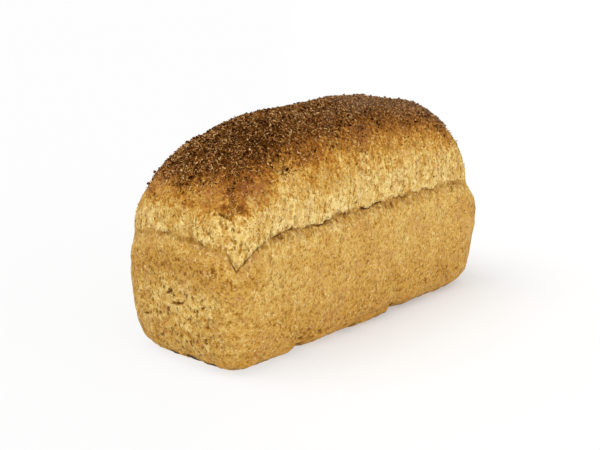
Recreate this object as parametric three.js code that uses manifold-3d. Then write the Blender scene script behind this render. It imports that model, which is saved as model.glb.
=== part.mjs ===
// A whole wheat tin loaf: one solid of bread, with the largest of its bran flakes fused to the crown.
// Millimetres, +Z up. The loaf's length lies along X, and the origin is the middle of its base.
import * as THREE from "three";
import { ParametricGeometry } from "three/addons/geometries/ParametricGeometry.js";
import { mergeVertices } from "three/addons/utils/BufferGeometryUtils.js";
import Module from "manifold-3d";

// Driving dimensions
const LENGTH = 272;
const WIDTH = 104;
const HEIGHT = 149.8;
const CREASE_HEIGHT = 85; // where the crown rose over the tin's rim

// Plan: two straight sides, and ends that are squared ovals
const HALF_LENGTH = LENGTH / 2;
const HALF_WIDTH = WIDTH / 2;
const CAP = 0.95 * HALF_WIDTH; // length of each oval end
const SPINE = HALF_LENGTH - CAP; // half the length of the straight part
const QUARTER = SPINE + CAP + HALF_WIDTH; // a quarter of the way round, measured on the square corner
const WALL_SQUARENESS = 4.55;
const CROWN_SQUARENESS = 5.2;
const TOP_SQUARENESS = 2;

// Wall that the tin shaped
const FLARE = 0.9;
const FOOT_ON_SIDE = 18.5; // radius of the base's edge
const FOOT_AT_CORNER = 20;
const FOOT_BLEND = 1.5; // over 1 keeps the corner's radius close to the corner
const END_FOOT = { left: 4, right: 0 }; // what the middle of an end adds to that radius
const SHOULDER_HEIGHT = 17;
const SHOULDER_INSET = 4.65;
const END_SHOULDER = { left: 0, right: 6 };
const END_SWELL = { left: 1.1, right: 2.6 };
const END_INSET = { left: -2, right: 2.5 };
// Nicks in the base's front edge: its radius jumps up at a place, and eases off to the right
const FOOT_NICKS = [
  { at: -80, rounder: 8, fade: 30 },
  { at: 21, rounder: 10, fade: 27 },
];
const NICK_START = 5;

// Crease between wall and crown
const GROOVE_DEPTH = 2;
const GROOVE_DROP = 1.2; // the shoulder ends this far below the crown's lip
const END_CREASE_DROP = { left: 1.3, right: 0 };
const FRONT_SAG = { at: -58, depth: 2.3, reach: 18 }; // where the front's crease hangs lower
// Corner flaps, where the crown hangs over the wall: how far down, how far along the side from the corner
// the tip lies, how soon they end along side and end, and the share of the drop that is a narrow tongue
const FLAPS = [
  { x: -1, y: -1, drop: 16.5, tip: 1.5, alongSide: 10, alongEnd: 17, tongue: 0.56 },
  { x: 1, y: -1, drop: 7, tip: 0, alongSide: 18, alongEnd: 13, tongue: 0 },
  { x: -1, y: 1, drop: 10, tip: 0, alongSide: 16, alongEnd: 14, tongue: 0 },
  { x: 1, y: 1, drop: 9, tip: 0, alongSide: 17, alongEnd: 12, tongue: 0 },
];
const TONGUE_EDGE = 4; // length over which a tongue ends, on the end's side of its tip
const DEEPEST_FLAP = Math.max(...FLAPS.map((flap) => flap.drop));
const FLAP_LIFT = 0.8; // share of the inset that a full flap takes back
const FLAP_CURL = 3; // how soon the crown draws back above a flap

// Crown
const SIDE_POWER = 2.27; // 2 is an ellipse, and more is fuller
const RISE_POWER = 2.11;
const END_POWER = { left: 2.12, right: 2.21 };
const BULGE = 0.9;
const BULGE_TOP = 1.6; // the bulge ends at 1 / BULGE_TOP of the crown's height
const PEAK = -0.05; // place of the highest point, as a share of the spine
const END_DROP = { left: 12.6, right: 8.7 };
const ARCH = { left: 3, right: 2.7 };

// Unevenness of the dough: long low waves, each given by its radians per millimetre along the axes
const WALL_LUMP = 0.7;
const WALL_WAVES = [
  { x: 1 / 23, y: 0, z: 1 / 31, start: 0 },
  { x: 0, y: 1 / 17, z: -1 / 19, start: 1 },
  { x: 1 / 47, y: -1 / 29, z: 0, start: 2 },
];
const CROWN_LUMP = 1.85;
const CROWN_WAVES = [
  { x: 1 / 27, y: 1 / 40, z: 0, start: 4.63 },
  { x: 1 / 18, y: -1 / 35, z: 0, start: 0.28 },
];
const CREASE_LUMP = 0.8;
const CREASE_WAVES = [
  { x: 1 / 13, y: 0, z: 0, start: 0 },
  { x: 1 / 7, y: 0, z: 0, start: 1 },
  { x: 0, y: 1 / 9, z: 0, start: 2 },
];
const LUMP_FADE = 30; // the wall's waves die out towards the base over this height

// Mesh
const SIDE_STEPS = 8; // stations in a quarter of the plan: straight side, corner, half of the end
const CORNER_STEPS = 7;
const END_STEPS = 6;
const CROWDING = 1.4; // over 1 shortens the steps towards the corner
const QUARTER_STEPS = SIDE_STEPS + CORNER_STEPS + END_STEPS;
const FOOT_RINGS = 4;
const WALL_RINGS = 4;
const SHOULDER_RINGS = 3;
const CROWN_RINGS = 13;
const MERGE = 1e-4;
const NORMAL_STEP = 1e-3;

// Bran flakes
const FLAKES = 185;
const PLACES_TRIED = 60 * FLAKES;
const FLAKE = { length: 4.2, width: 1.9, height: 1.5 };
const FLAKE_VARIATION = 0.35;
const FLAKE_SPACING = 7.4;
const FLAKE_SUNK = 0.15; // share of its height that the flake's middle lies below the crust
const FLAKE_TILT = 0.35;
const STEEPEST = 0.5; // flakes lie where the crust's normal points up by at least this
const NEAR_SPINE = 0.99; // and not where all the stations meet
const SPREAD_ROUND = 0.7548776662; // the two steps of a sequence that covers a square evenly
const SPREAD_IN = 0.569840291;
const SEED = 20;

const CRUST = new THREE.MeshStandardMaterial({
  color: 0xb98a4c,
  roughness: 0.85,
  metalness: 0,
});

const { lerp, clamp, smoothstep, seededRandom } = THREE.MathUtils;
const bySide = (pair, x) => (x < 0 ? pair.left : pair.right);

// The mean of several waves at a point, from -1 to 1.
function waveAt(waves, x, y, z) {
  const heights = waves.map((wave) => Math.sin(wave.x * x + wave.y * y + wave.z * z + wave.start));
  return heights.reduce((sum, height) => sum + height, 0) / waves.length;
}

// A place round the plan: its share of the spine, and its direction from there on the unit square.
function stationAt(around) {
  const along = (((around % 1) + 1) % 1) * 4 * QUARTER;
  const turn = Math.floor(along / QUARTER) % 4;
  const rest = turn % 2 === 0 ? along - turn * QUARTER : (turn + 1) * QUARTER - along;
  const sideX = turn < 2 ? 1 : -1;
  const sideY = turn === 0 || turn === 3 ? -1 : 1;
  if (rest < SPINE) return { spine: (sideX * rest) / SPINE, dx: 0, dy: sideY };
  if (rest < SPINE + CAP) return { spine: sideX, dx: (sideX * (rest - SPINE)) / CAP, dy: sideY };
  return { spine: sideX, dx: sideX, dy: (sideY * (QUARTER - rest)) / HALF_WIDTH };
}

// The way along a quarter of the plan at one of its stations.
function quarterDistance(step) {
  if (step <= SIDE_STEPS) return (SPINE * step) / SIDE_STEPS;
  const past = step - SIDE_STEPS - CORNER_STEPS;
  if (past <= 0) return SPINE + CAP * (1 - (-past / CORNER_STEPS) ** CROWDING);
  return SPINE + CAP + HALF_WIDTH * (past / END_STEPS) ** CROWDING;
}

// The share of the way round, from the middle of the front side, at one of the stations.
function aroundAt(index) {
  const turn = Math.floor(index / QUARTER_STEPS);
  const rest = index - turn * QUARTER_STEPS;
  const distance = turn % 2 === 0 ? quarterDistance(rest) : QUARTER - quarterDistance(QUARTER_STEPS - rest);
  return turn / 4 + distance / (4 * QUARTER);
}

// The plan's point at a station: reach is the share of the way out from the spine.
function planPoint({ spine, dx, dy }, { reach = 1, inset, squareness }) {
  const norm = (Math.abs(dx) ** squareness + Math.abs(dy) ** squareness) ** (1 / squareness);
  return {
    x: spine * SPINE + ((CAP * reach - inset) * dx) / norm,
    y: ((HALF_WIDTH * reach - inset) * dy) / norm,
  };
}

// How far the crown hangs down at a station, from 0 to 1 of the deepest flap.
function flapShare(station) {
  const outline = planPoint(station, { inset: 0, squareness: WALL_SQUARENESS });
  const corner = 2 ** (-1 / WALL_SQUARENESS);
  let share = 0;
  for (const flap of FLAPS) {
    if (Math.sign(station.spine) !== flap.x || Math.sign(station.dy) !== flap.y) continue;
    const onSide = Math.abs(station.dy) >= Math.abs(station.dx);
    const alongSide = SPINE + CAP * corner - Math.abs(outline.x);
    const alongEnd = HALF_WIDTH * corner - Math.abs(outline.y);
    const away = (onSide ? alongSide : -alongEnd) - flap.tip;
    const tongue = Math.max(0, 1 + away / TONGUE_EDGE);
    const towardsEnd = lerp(Math.exp(away / flap.alongEnd), tongue, flap.tongue);
    share += (flap.drop / DEEPEST_FLAP) * (away > 0 ? Math.exp(-away / flap.alongSide) : towardsEnd);
  }
  return share;
}

function wallLump(station, z) {
  const { x, y } = planPoint(station, { inset: 0, squareness: WALL_SQUARENESS });
  return WALL_LUMP * waveAt(WALL_WAVES, x, y, z) * smoothstep(z, 0, LUMP_FADE);
}

// The sizes that change from station to station.
function sizesAt(station) {
  const { spine, dx, dy } = station;
  const endness = Math.abs(dx);
  const flap = flapShare(station);
  const outline = planPoint(station, { inset: 0, squareness: WALL_SQUARENESS });
  let foot = lerp(FOOT_ON_SIDE, FOOT_AT_CORNER, Math.min(endness, Math.abs(dy)) ** FOOT_BLEND);
  foot += bySide(END_FOOT, spine) * (1 - Math.abs(dy));
  for (const nick of dy === -1 ? FOOT_NICKS : []) {
    const past = outline.x - nick.at;
    foot += nick.rounder * smoothstep(past, 0, NICK_START) * (1 - smoothstep(past, 0, nick.fade));
  }
  const wave = waveAt(CREASE_WAVES, outline.x, outline.y, 0);
  const drop = DEEPEST_FLAP * flap + bySide(END_CREASE_DROP, spine) * endness;
  const pastSag = (outline.x - FRONT_SAG.at) / FRONT_SAG.reach;
  const sag = dy === -1 ? FRONT_SAG.depth * Math.exp(-(pastSag ** 2)) : 0;
  const crease = CREASE_HEIGHT - drop - sag + CREASE_LUMP * wave;
  const inset = SHOULDER_INSET + bySide(END_INSET, spine) * endness;
  const away = spine > PEAK ? (spine - PEAK) / (1 - PEAK) : (PEAK - spine) / (1 + PEAK);
  return {
    endness,
    foot,
    crease,
    shoulder: crease - SHOULDER_HEIGHT - bySide(END_SHOULDER, spine) * endness,
    swell: bySide(END_SWELL, spine) * Math.abs(spine) ** 3 * endness,
    inset,
    lipInset: inset * (1 - FLAP_LIFT * flap),
    top: HEIGHT - bySide(END_DROP, spine - PEAK) * away ** bySide(ARCH, spine - PEAK),
  };
}

// Each stretch of the profile gives the plan and the height at a share of its own length.
const baseStretch = (share, station, size) => ({
  reach: share * (1 - (FLARE + size.foot) / HALF_WIDTH),
  inset: 0,
  squareness: WALL_SQUARENESS,
  z: 0,
});

const footStretch = (share, station, size) => ({
  inset: FLARE + size.foot * (1 - Math.sin((share * Math.PI) / 2)),
  squareness: WALL_SQUARENESS,
  z: size.foot * (1 - Math.cos((share * Math.PI) / 2)),
});

function wallStretch(share, station, size) {
  const z = lerp(size.foot, size.shoulder, share);
  const swell = size.swell * Math.sin((share * Math.PI) / 2);
  return { inset: FLARE * (1 - share) - swell - wallLump(station, z), squareness: WALL_SQUARENESS, z };
}

function shoulderStretch(share, station, size) {
  const turn = (share * Math.PI) / 2;
  const z = lerp(size.shoulder, size.crease - GROOVE_DROP, Math.sin(turn));
  const inset = size.lipInset * (1 - Math.cos(turn)) - size.swell * Math.cos(turn);
  return { inset: inset - wallLump(station, z), squareness: WALL_SQUARENESS, z };
}

const grooveStretch = (share, station, size) => ({
  inset: size.lipInset + GROOVE_DEPTH - wallLump(station, size.crease),
  squareness: WALL_SQUARENESS,
  z: size.crease,
});

function crownStretch(share, station, size) {
  const turn = (share * Math.PI) / 2;
  const endPower = bySide(END_POWER, station.spine);
  const rise = Math.sin(turn) ** (2 / lerp(RISE_POWER, endPower, size.endness));
  const out = Math.cos(turn) ** (2 / lerp(SIDE_POWER, endPower, size.endness));
  const lip = lerp(size.inset, size.lipInset, (1 - rise) ** FLAP_CURL);
  const lump = wallLump(station, size.crease) * (1 - rise);
  const bulge = BULGE * Math.sin(Math.PI * clamp(BULGE_TOP * rise, 0, 1)) + lump;
  const plan = {
    reach: (1 - lip / HALF_WIDTH) * out,
    inset: -bulge,
    squareness: lerp(CROWN_SQUARENESS, TOP_SQUARENESS, rise),
  };
  const { x, y } = planPoint(station, plan);
  return { ...plan, z: lerp(size.crease, size.top, rise) + CROWN_LUMP * waveAt(CROWN_WAVES, x, y, 0) * rise };
}

// Rings from the middle of the base up to the spine of the crown.
const steps = (count, stretch, from = 1) =>
  Array.from({ length: count + 1 - from }, (_, i) => ({ stretch, share: (i + from) / count }));
const RINGS = [
  { stretch: baseStretch, share: 0 },
  ...steps(FOOT_RINGS, footStretch, 0),
  ...steps(WALL_RINGS, wallStretch),
  ...steps(SHOULDER_RINGS, shoulderStretch),
  { stretch: grooveStretch, share: 1 },
  ...steps(CROWN_RINGS, crownStretch, 0),
];

function surfacePoint(stretch, share, around, target) {
  const station = stationAt(around);
  const level = stretch(share, station, sizesAt(station));
  const { x, y } = planPoint(station, level);
  return target.set(x, y, level.z);
}

function breadGeometry() {
  const last = RINGS.length - 1;
  const onRing = (round, up, target) => {
    const { stretch, share } = RINGS[Math.round(up * last)];
    surfacePoint(stretch, share, aroundAt(Math.round(round * 4 * QUARTER_STEPS)), target);
  };
  return new ParametricGeometry(onRing, 4 * QUARTER_STEPS, last);
}

// The crown's outward normal, from two short steps along the surface.
function crownNormal(share, around) {
  const here = surfacePoint(crownStretch, share, around, new THREE.Vector3());
  const beside = surfacePoint(crownStretch, share, around + NORMAL_STEP, new THREE.Vector3()).sub(here);
  const above = surfacePoint(crownStretch, share + NORMAL_STEP, around, new THREE.Vector3()).sub(here);
  return beside.cross(above).normalize();
}

// Places for the flakes, spread evenly over the top of the crown.
function flakePlaces() {
  const places = [];
  for (let i = 1; places.length < FLAKES && i < PLACES_TRIED; i++) {
    const around = (i * SPREAD_ROUND) % 1;
    const out = (i * SPREAD_IN) % 1;
    const share = (2 / Math.PI) * Math.acos(out ** (SIDE_POWER / 2));
    if (share > NEAR_SPINE) continue;
    const point = surfacePoint(crownStretch, share, around, new THREE.Vector3());
    const normal = crownNormal(share, around);
    const crowded = places.some((other) => other.point.distanceTo(point) < FLAKE_SPACING);
    if (normal.z > STEEPEST && !crowded) places.push({ point, normal });
  }
  return places;
}

// A flake is a flattened icosahedron that lies on the crust at a slight tilt.
function flakeGeometry({ point, normal }) {
  const vary = () => 1 + FLAKE_VARIATION * (2 * seededRandom() - 1);
  const tilt = () => FLAKE_TILT * (2 * seededRandom() - 1);
  const size = new THREE.Vector3(FLAKE.length * vary(), FLAKE.width * vary(), FLAKE.height * vary());
  const facing = new THREE.Quaternion().setFromUnitVectors(new THREE.Vector3(0, 0, 1), normal);
  const lying = new THREE.Euler(tilt(), tilt(), 2 * Math.PI * seededRandom(), "ZYX");
  const turned = new THREE.Quaternion().setFromEuler(lying);
  const middle = point.clone().addScaledVector(normal, -FLAKE_SUNK * size.z);
  const place = new THREE.Matrix4().compose(middle, facing.multiply(turned), size.multiplyScalar(0.5));
  return new THREE.IcosahedronGeometry(1, 0).applyMatrix4(place);
}

const wasm = await Module();
wasm.setup();

function toSolid(geometry) {
  const bare = new THREE.BufferGeometry().setAttribute("position", geometry.getAttribute("position"));
  bare.setIndex(geometry.index);
  const merged = mergeVertices(bare, MERGE);
  const kept = [];
  for (let i = 0; i < merged.index.count; i += 3) {
    const [a, b, c] = merged.index.array.slice(i, i + 3);
    if (a !== b && b !== c && c !== a) kept.push(a, b, c);
  }
  const vertProperties = merged.getAttribute("position").array;
  const triVerts = new Uint32Array(kept);
  return new wasm.Manifold(new wasm.Mesh({ numProp: 3, vertProperties, triVerts }));
}

function toGeometry(solid) {
  const { vertProperties, triVerts } = solid.getMesh();
  const geometry = new THREE.BufferGeometry();
  geometry.setAttribute("position", new THREE.BufferAttribute(vertProperties, 3));
  geometry.setIndex(new THREE.BufferAttribute(triVerts, 1));
  geometry.computeVertexNormals();
  return geometry;
}

function loafMesh() {
  seededRandom(SEED);
  let solid = toSolid(breadGeometry());
  for (const place of flakePlaces()) solid = solid.add(toSolid(flakeGeometry(place)));
  const mesh = new THREE.Mesh(toGeometry(solid), CRUST);
  mesh.name = "loaf";
  return mesh;
}

const loaf = new THREE.Group();
loaf.add(loafMesh());

export default loaf;
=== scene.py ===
"""A whole wheat tin loaf: a displaced crust over the solid's own form, strewn with bran flakes."""

import functools
import math

import bpy
import numpy as np
from mathutils import Matrix, Vector, noise


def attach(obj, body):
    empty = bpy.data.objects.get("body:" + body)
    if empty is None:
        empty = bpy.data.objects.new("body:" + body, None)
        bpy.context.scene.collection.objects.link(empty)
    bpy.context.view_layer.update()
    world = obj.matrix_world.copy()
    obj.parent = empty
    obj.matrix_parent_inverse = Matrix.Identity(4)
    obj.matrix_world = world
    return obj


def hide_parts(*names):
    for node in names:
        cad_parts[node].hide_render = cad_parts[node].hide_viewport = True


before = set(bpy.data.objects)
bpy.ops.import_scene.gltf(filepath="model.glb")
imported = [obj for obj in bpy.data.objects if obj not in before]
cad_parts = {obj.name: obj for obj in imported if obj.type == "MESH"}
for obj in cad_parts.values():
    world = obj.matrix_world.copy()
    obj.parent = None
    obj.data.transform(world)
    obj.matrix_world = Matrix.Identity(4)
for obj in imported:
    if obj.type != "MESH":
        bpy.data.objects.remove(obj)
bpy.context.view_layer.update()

MM = 0.001
SEED = 20

# Form of the solid, in millimetres
LENGTH, WIDTH, HEIGHT, CREASE_HEIGHT = 272, 104, 149.8, 85
HALF_WIDTH = WIDTH / 2
CAP = 0.95 * HALF_WIDTH  # from an end of the spine to the end of the loaf
SPINE = LENGTH / 2 - CAP
WALL_SQUARENESS, CROWN_SQUARENESS, TOP_SQUARENESS = 4.55, 5.2, 2
FLARE = 0.9
FOOT_ON_SIDE, FOOT_AT_CORNER, FOOT_BLEND = 18.5, 20, 1.5
FOOT_NICKS = [(-80, 8, 30), (21, 10, 27)]  # place along the front, added radius, length of its fade
NICK_START = 5
SHOULDER_HEIGHT, SHOULDER_INSET = 17, 4.65
END_FOOT = (4, 0)  # left and right, as in the pairs below
END_SHOULDER = (0, 6)
END_SWELL, SWELL_POWER = (1.1, 2.6), 3
END_INSET = (-2, 2.5)
END_DROP = (12.6, 8.7)
ARCH = (3, 2.7)
PEAK = -0.05
END_CREASE_DROP = (1.3, 0)
FRONT_SAG, FRONT_SAG_PLACE = 2.3, (-58, 18)  # depth, middle and reach where the front's crease hangs lower
# Flaps: corner, drop, place of the tip, lengths of the fade along side and end, share of a narrow tongue
FLAPS = [
    ((-1, -1), 16.5, 1.5, 10, 17, 0.56),
    ((1, -1), 7, 0, 18, 13, 0),
    ((-1, 1), 10, 0, 16, 14, 0),
    ((1, 1), 9, 0, 17, 12, 0),
]
DEEPEST_FLAP, TONGUE_EDGE, FLAP_LIFT, FLAP_CURL = 16.5, 4, 0.8, 3
SIDE_POWER, RISE_POWER = 2.27, 2.11
END_POWER = (2.12, 2.21)
BULGE, BULGE_TOP = 0.9, 1.6
WALL_LUMP, LUMP_FADE = 0.7, 30
WALL_WAVES = [(1 / 23, 0, 1 / 31, 0), (0, 1 / 17, -1 / 19, 1), (1 / 47, -1 / 29, 0, 2)]
CROWN_LUMP = 1.85
CROWN_WAVES = [(1 / 27, 1 / 40, 0, 4.63), (1 / 18, -1 / 35, 0, 0.28)]
CREASE_LUMP = 0.8
CREASE_WAVES = [(1 / 13, 0, 0, 0), (1 / 7, 0, 0, 1), (0, 1 / 9, 0, 2)]

# Crease as the crust has it: a ragged groove that gapes in places and is nearly shut between them
CREASE_RAGGED = 1.7
GROOVE_HEIGHT = (0.3, 1.4)  # least and full
GROOVE_SHUT, GROOVE_FULL = 0.15, 1.4  # depth where it is shut, and where it has its full height
GROOVE_UNEVEN, GROOVE_LEAST = 2.0, 0.15
GROOVE_DARK = (0.1, 1.2)  # depths between which its painted shade comes in
GROOVE_GAPES = [  # middle of the place on the plan, its reach, and its depth
    ((-129, -44), 4, 0.2),
    ((-116, -50), 12, 0.8),
    ((-95, -50), 10, 1.7),
    ((-82, -52), 6, 0.9),
    ((-66, -52), 9, 0.7),
    ((-48, -52), 7, 1.2),
    ((-30, -52), 7, 0.6),
    ((-6, -52), 8, 1.1),
    ((9, -52), 7, 1.1),
    ((33, -52), 8, 1.0),
    ((51, -52), 6, 0.6),
    ((70, -52), 8, 0.6),
    ((102, -52), 11, 0.35),
    ((-136, 9.5), 6.5, 0.5),
    ((-136, -15.5), 5, 0.4),
    ((-136, -26.5), 3.5, 0.5),
    ((-90, 52), 16, 1.1),
    ((-38, 52), 13, 0.8),
    ((12, 52), 15, 1.4),
    ((60, 52), 9, 0.8),
    ((100, 50), 16, 1.4),
    ((136, 8), 15, 1.2),
    ((136, -25), 9, 0.7),
]
# Shoulder under the crease: how far it turns inwards where the crease is shut, and where it gapes
SHOULDER_TURN, FULL_TURN_GAPE = (math.radians(58), math.radians(90)), (0.2, 1.2)
# Rings next to the groove that run together with it where it is shut, and how often and how far they do
HEALED_BELOW, HEALED_ABOVE, HEALING_ROUNDS, HEALING, HEALED_GAPE = 7, 5, 60, 0.25, (0.1, 0.5)

# Mesh of the crust: steps round a quarter of the plan, and rings on each stretch of the profile
SIDE_STEPS, CORNER_STEPS, END_STEPS = 68, 40, 40
CROWDING = 1.3  # over 1 shortens the steps towards the corner
BASE_RINGS, FOOT_RINGS, WALL_RINGS, SHOULDER_RINGS, GROOVE_RINGS, CROWN_RINGS = 6, 22, 42, 16, 8, 70
MERGED_DIGITS = 4  # points that are the same to this many digits are one
SHORTEST = 1e-12  # least length that a vector is divided by

# Noises: a shift that tells each from the others, millimetres across, and octaves
NOISES = {
    "crease path": (0, 10, 3),
    "groove": (40, 8, 3),
    "swells": (0, 26, 2),
    "bumps": (20, 8, 2),
    "grains": (70, 3, 2),
    "tears": (0, 3.4, 2),
    "crumbs": (120, 4.5, 2),
    "lip": (30, 5, 2),
    "foot chips": (150, 7, 2),
    "patch": (90, 14, 2),
    "flour": (35, 9, 2),
    "cracks": (0, 3, 2),
    "warp x": (11, 4, 2),
    "warp y": (47, 4, 2),
    "warp z": (83, 4, 2),
    "bake": (10, 20, 3),
    "bake spots": (60, 6, 2),
    "crease line": (200, 7, 2),
    "sole": (170, 8, 2),
    "dull top": (300, 22, 2),
    "bran": (15, 20, 3),
}
OCTAVE_FADE, OCTAVE_STEP = 1, 2
CELL_DRAW = 7.31  # spreads the places of cells, so that each has a draw of its own

# Camera: its direction from the loaf, its distance and lens, and the point that it looks at
CAMERA_AZIMUTH, CAMERA_ELEVATION = math.radians(-48.96), math.radians(14.64)
CAMERA_RIGHT = Vector((math.cos(CAMERA_AZIMUTH), math.sin(CAMERA_AZIMUTH), 0))
CAMERA_DISTANCE, CAMERA_LENS, SENSOR = 0.7112, 60.75, 36
AIM_HEIGHT, AIM_RIGHT, AIM_UP = 0.05464, -0.01209, 0.00823


def lerp(low, high, share):
    return low + (high - low) * share


def smoothstep(value, low, high):
    share = np.clip((value - low) / (high - low), 0, 1)
    return share * share * (3 - 2 * share)


def by_side(pair, x):
    return np.where(x < 0, pair[0], pair[1])


def wave_at(waves, x, y, z):
    return sum(np.sin(kx * x + ky * y + kz * z + start) for kx, ky, kz, start in waves) / len(waves)


def hump(value, middle, reach):
    """From 0 to 1, how close a value is to a middle."""
    return np.exp(-(((value - middle) / reach) ** 2))


def nearness(points, place, reach):
    """From 0 to 1, how close points are to a place."""
    return np.exp(-(((points - place) ** 2).sum(1) / reach**2))


def added_near(places, points):
    """What places, each with its reach and an amount, add to the points near them."""
    return sum(amount * nearness(points, place, reach) for place, reach, amount in places)


def perlin(name, points):
    """One of the noises, about 0, at points in millimetres."""
    shift, across, octaves = NOISES[name]
    settings = (OCTAVE_FADE, OCTAVE_STEP, octaves)
    scaled = ((points + shift) / across).tolist()
    return np.array([noise.fractal(p, *settings, noise_basis="PERLIN_NEW") for p in scaled])


def pits(points, cell, radius, share):
    """From 0 to 1, how deep a point is in one of the pits that a share of the cells have."""
    nearest = [noise.voronoi(p) for p in (points / cell).tolist()]
    away = np.array([distances[0] for distances, _ in nearest])
    draw = (np.array([noise.cell(places[0] * CELL_DRAW) for _, places in nearest]) + 1) / 2
    return np.maximum(0, 1 - (away / radius) ** 2) * (draw < share)


class Stations:
    """Places round the plan, from the middle of the front, with the sizes that change between them."""

    def __init__(self):
        quarter = [(i / SIDE_STEPS, 0, 1) for i in range(SIDE_STEPS)]
        quarter += [(1, 1 - (1 - i / CORNER_STEPS) ** CROWDING, 1) for i in range(CORNER_STEPS)]
        quarter += [(1, 1, 1 - (i / END_STEPS) ** CROWDING) for i in range(END_STEPS + 1)]
        quarter = np.array(quarter, float)
        right = np.concatenate([quarter * (1, 1, -1), quarter[::-1][1:]])
        left = right[::-1] * (-1, -1, 1)
        self.spine, self.dx, self.dy = np.concatenate([right, left[1:-1]]).T
        self.endness = np.abs(self.dx)
        self.x, self.y = self.plan(0)
        self.count = len(self.spine)
        flap = self.flap_share()
        outline = np.stack([self.x, self.y, np.zeros(self.count)], 1)
        wave = CREASE_LUMP * wave_at(CREASE_WAVES, self.x, self.y, 0)
        ragged = CREASE_RAGGED * perlin("crease path", outline)
        drop = DEEPEST_FLAP * flap + self.on_ends(END_CREASE_DROP)
        sag = FRONT_SAG * hump(self.x, *FRONT_SAG_PLACE) * (self.dy == -1)
        self.crease = CREASE_HEIGHT - drop - sag + wave + ragged
        self.shoulder = self.crease - SHOULDER_HEIGHT - self.on_ends(END_SHOULDER)
        self.gape = added_near(GROOVE_GAPES, outline[:, :2])
        uneven = 1 + GROOVE_UNEVEN * perlin("groove", outline)
        self.groove = (GROOVE_SHUT + self.gape) * np.clip(uneven, GROOVE_LEAST, None)
        self.groove_height = lerp(*GROOVE_HEIGHT, smoothstep(self.groove, 0, GROOVE_FULL))
        self.shoulder_turn = lerp(*SHOULDER_TURN, smoothstep(self.gape, *FULL_TURN_GAPE))
        self.foot = self.foot_radius()
        self.swell = self.on_ends(END_SWELL) * np.abs(self.spine) ** SWELL_POWER
        self.inset = SHOULDER_INSET + self.on_ends(END_INSET)
        self.lip_inset = self.inset * (1 - FLAP_LIFT * flap)
        past = self.spine - PEAK
        away = np.where(past > 0, past / (1 - PEAK), -past / (1 + PEAK))
        self.top = HEIGHT - by_side(END_DROP, past) * away ** by_side(ARCH, past)

    def plan(self, inset, reach=1.0, squareness=WALL_SQUARENESS):
        norm = (np.abs(self.dx) ** squareness + np.abs(self.dy) ** squareness) ** (1 / squareness)
        x = self.spine * SPINE + (CAP * reach - inset) * self.dx / norm
        y = (HALF_WIDTH * reach - inset) * self.dy / norm
        return x, y

    def on_ends(self, pair):
        """What the left and the right end add to a size."""
        return by_side(pair, self.spine) * self.endness

    def flap_share(self):
        corner = 2 ** (-1 / WALL_SQUARENESS)
        along_side = SPINE + CAP * corner - np.abs(self.x)
        along_end = HALF_WIDTH * corner - np.abs(self.y)
        past_corner = np.where(np.abs(self.dy) >= self.endness, along_side, -along_end)
        share = np.zeros(self.count)
        for (side_x, side_y), drop, tip, side_fade, end_fade, narrow in FLAPS:
            here = (np.sign(self.spine) == side_x) & (np.sign(self.dy) == side_y)
            away = past_corner - tip
            tongue = np.maximum(0, 1 + away / TONGUE_EDGE)
            towards_end = lerp(np.exp(-np.abs(away) / end_fade), tongue, narrow)
            towards_side = np.exp(-np.abs(away) / side_fade)
            share += here * drop / DEEPEST_FLAP * np.where(away > 0, towards_side, towards_end)
        return share

    def foot_radius(self):
        corner = np.minimum(self.endness, np.abs(self.dy)) ** FOOT_BLEND
        foot = lerp(FOOT_ON_SIDE, FOOT_AT_CORNER, corner)
        foot += by_side(END_FOOT, self.spine) * (1 - np.abs(self.dy))
        for place, rounder, length in FOOT_NICKS:
            past = self.x - place
            nick = smoothstep(past, 0, NICK_START) * (1 - smoothstep(past, 0, length))
            foot += rounder * nick * (self.dy == -1)
        return foot

    def lump(self, z):
        return WALL_LUMP * wave_at(WALL_WAVES, self.x, self.y, z) * smoothstep(z, 0, LUMP_FADE)


def base_ring(at, share):
    x, y = at.plan(0, share * (1 - (FLARE + at.foot) / HALF_WIDTH))
    return x, y, np.zeros(at.count)


def foot_ring(at, share):
    turn = share * math.pi / 2
    x, y = at.plan(FLARE + at.foot * (1 - math.sin(turn)))
    return x, y, at.foot * (1 - math.cos(turn))


def wall_ring(at, share):
    z = lerp(at.foot, at.shoulder, share)
    swell = at.swell * math.sin(share * math.pi / 2)
    x, y = at.plan(FLARE * (1 - share) - swell - at.lump(z))
    return x, y, z


def shoulder_ring(at, share):
    turn = share * at.shoulder_turn
    z = lerp(at.shoulder, at.crease - at.groove_height, np.sin(turn) / np.sin(at.shoulder_turn))
    turned_in = (1 - np.cos(turn)) / (1 - np.cos(at.shoulder_turn))
    inset = at.lip_inset * turned_in - at.swell * (1 - turned_in)
    x, y = at.plan(inset - at.lump(z))
    return x, y, z


def groove_ring(at, share):
    z = at.crease - at.groove_height * (1 - share)
    x, y = at.plan(at.lip_inset + at.groove * math.sin(share * math.pi) - at.lump(z))
    return x, y, z


def crown_ring(at, share):
    turn = share * math.pi / 2
    end_power = by_side(END_POWER, at.spine)
    rise = math.sin(turn) ** (2 / lerp(RISE_POWER, end_power, at.endness))
    out = np.maximum(math.cos(turn), 0) ** (2 / lerp(SIDE_POWER, end_power, at.endness))
    lip = lerp(at.inset, at.lip_inset, (1 - rise) ** FLAP_CURL)
    bulge = BULGE * np.sin(math.pi * np.clip(BULGE_TOP * rise, 0, 1)) + at.lump(at.crease) * (1 - rise)
    squareness = lerp(CROWN_SQUARENESS, TOP_SQUARENESS, rise)
    x, y = at.plan(-bulge, (1 - lip / HALF_WIDTH) * out, squareness)
    z = lerp(at.crease, at.top, rise) + CROWN_LUMP * wave_at(CROWN_WAVES, x, y, 0) * rise
    return x, y, z


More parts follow.
